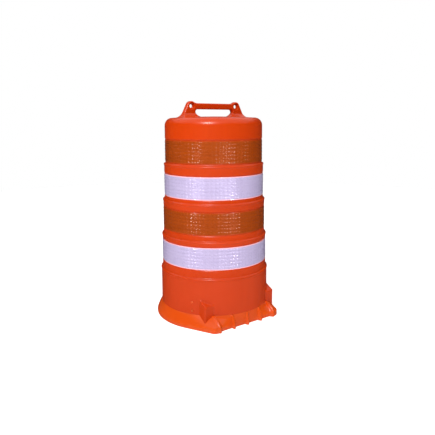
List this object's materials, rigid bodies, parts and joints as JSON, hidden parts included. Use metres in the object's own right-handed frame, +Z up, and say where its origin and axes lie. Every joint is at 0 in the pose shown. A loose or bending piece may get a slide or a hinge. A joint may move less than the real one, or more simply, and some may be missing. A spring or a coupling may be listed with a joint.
{
  "type": "traffic barrier drum",
  "caption": "Stepped orange channelizer drum with wrap-round reflective bands, a moulded grip handle with light holes, and a ballasted snap-in base with a flat ribbed side.",
  "frame": {"origin": "on the drum's axis, at the underside of the base that rests on the ground", "axes": "+Z up along the drum's axis; +X along the handle; -Y out of the flat, ribbed side of the base"},
  "size_m": [0.5694, 0.552, 1.014],
  "materials": {
    "shell_plastic": "semi-gloss moulded polyethylene",
    "base_plastic": "semi-gloss moulded polyethylene",
    "rivet_plastic": "moulded push rivets in the shell's colour",
    "orange_sheeting": "prismatic reflective sheeting with a sealed cell pattern",
    "white_sheeting": "prismatic reflective sheeting with a sealed cell pattern",
    "spring_steel": "plain spring steel strip",
    "ballast_rubber": "bonded recycled rubber crumb"
  },
  "bodies": {
    "base": {"base_pan": "base_plastic", "ballast_ring_lower": "ballast_rubber", "ballast_ring_upper": "ballast_rubber"},
    "drum": {"drum_shell": "shell_plastic", "orange_band_upper": "orange_sheeting", "white_band_upper": "white_sheeting", "orange_band_lower": "orange_sheeting", "white_band_lower": "white_sheeting", "rivet_left_lower": "rivet_plastic", "rivet_left_upper": "rivet_plastic", "rivet_right_lower": "rivet_plastic", "rivet_right_upper": "rivet_plastic"},
    "left_clip": {"spring_clip_left": "spring_steel"},
    "right_clip": {"spring_clip_right": "spring_steel"}
  },
  "joints": [
    {"name": "drum_lift", "type": "slide", "parent": "base", "child": "drum", "axis": [0, 0, 1], "range_m": [0, 0.12]},
    {"name": "clip_left_release", "type": "hinge", "parent": "drum", "child": "left_clip", "pos_m": [-0.2171, -0.1336, 0.0995], "axis": [0, 0, 1], "range_deg": [0, 3], "stiffness_Nm_per_rad": 5},
    {"name": "clip_right_release", "type": "hinge", "parent": "drum", "child": "right_clip", "pos_m": [0.2171, -0.1336, 0.0995], "axis": [0, 0, -1], "range_deg": [0, 3], "stiffness_Nm_per_rad": 5}
  ]
}
